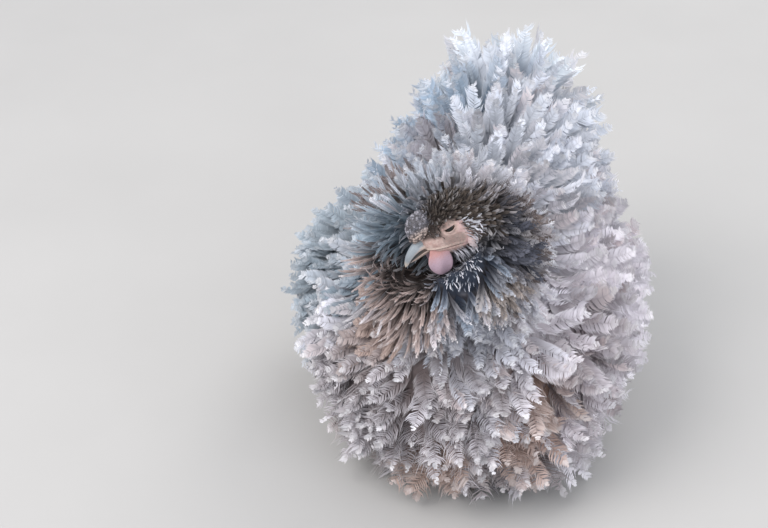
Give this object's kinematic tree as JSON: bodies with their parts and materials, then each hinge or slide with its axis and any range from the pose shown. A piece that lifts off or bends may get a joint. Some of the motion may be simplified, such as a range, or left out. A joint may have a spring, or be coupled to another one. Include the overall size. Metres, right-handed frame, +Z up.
{
  "type": "frizzle chicken",
  "caption": "Life-size frizzle hen crouched on the floor, fluffed, with outward-curled feathers, head drawn in and turned to its right, legs folded under the belly.",
  "frame": {"origin": "on the floor, under the middle of the bird's outline", "axes": "+Z up, -Y the way the body faces, +X the bird's own left side"},
  "size_m": [0.27, 0.3088, 0.262],
  "materials": {
    "plumage_neck": "matt narrow hackle feathers, charcoal to warm brown",
    "plumage_breast": "matt curled feathers, lavender white over warm grey-brown",
    "plumage_body": "matt curled feathers, pale blue-grey to lavender",
    "plumage_tail": "matt stiff feathers with split tips, pale blue-white",
    "face_skin": "bare wrinkled skin, dull pink-beige",
    "lobe_skin": "soft bare skin, salmon to lavender pink",
    "comb_skin": "pebbled skin, pale grey-lilac",
    "bill_horn": "satin horn, blue-grey with cream edges",
    "claw_horn": "satin horn, grey",
    "leg_scales": "scaled skin, slate grey",
    "eye_wet": "wet and glossy, dark brown"
  },
  "bodies": {
    "root": {"breast": "plumage_breast", "claw_left_hind": "claw_horn", "claw_left_inner": "claw_horn", "claw_left_middle": "claw_horn", "claw_left_outer": "claw_horn", "claw_right_hind": "claw_horn", "claw_right_inner": "claw_horn", "claw_right_middle": "claw_horn", "claw_right_outer": "claw_horn", "comb": "comb_skin", "ear_lobe_left": "lobe_skin", "ear_lobe_right": "lobe_skin", "eye_left": "eye_wet", "eye_right": "eye_wet", "foot_left": "leg_scales", "foot_right": "leg_scales", "head": "face_skin", "lower_bill": "bill_horn", "neck": "plumage_neck", "shank_left": "leg_scales", "shank_right": "leg_scales", "tail": "plumage_tail", "thigh_left": "plumage_body", "thigh_right": "plumage_body", "trunk": "plumage_body", "upper_bill": "bill_horn", "wattle_left": "lobe_skin", "wattle_right": "lobe_skin", "wing_left": "plumage_body", "wing_right": "plumage_body"}
  },
  "joints": []
}
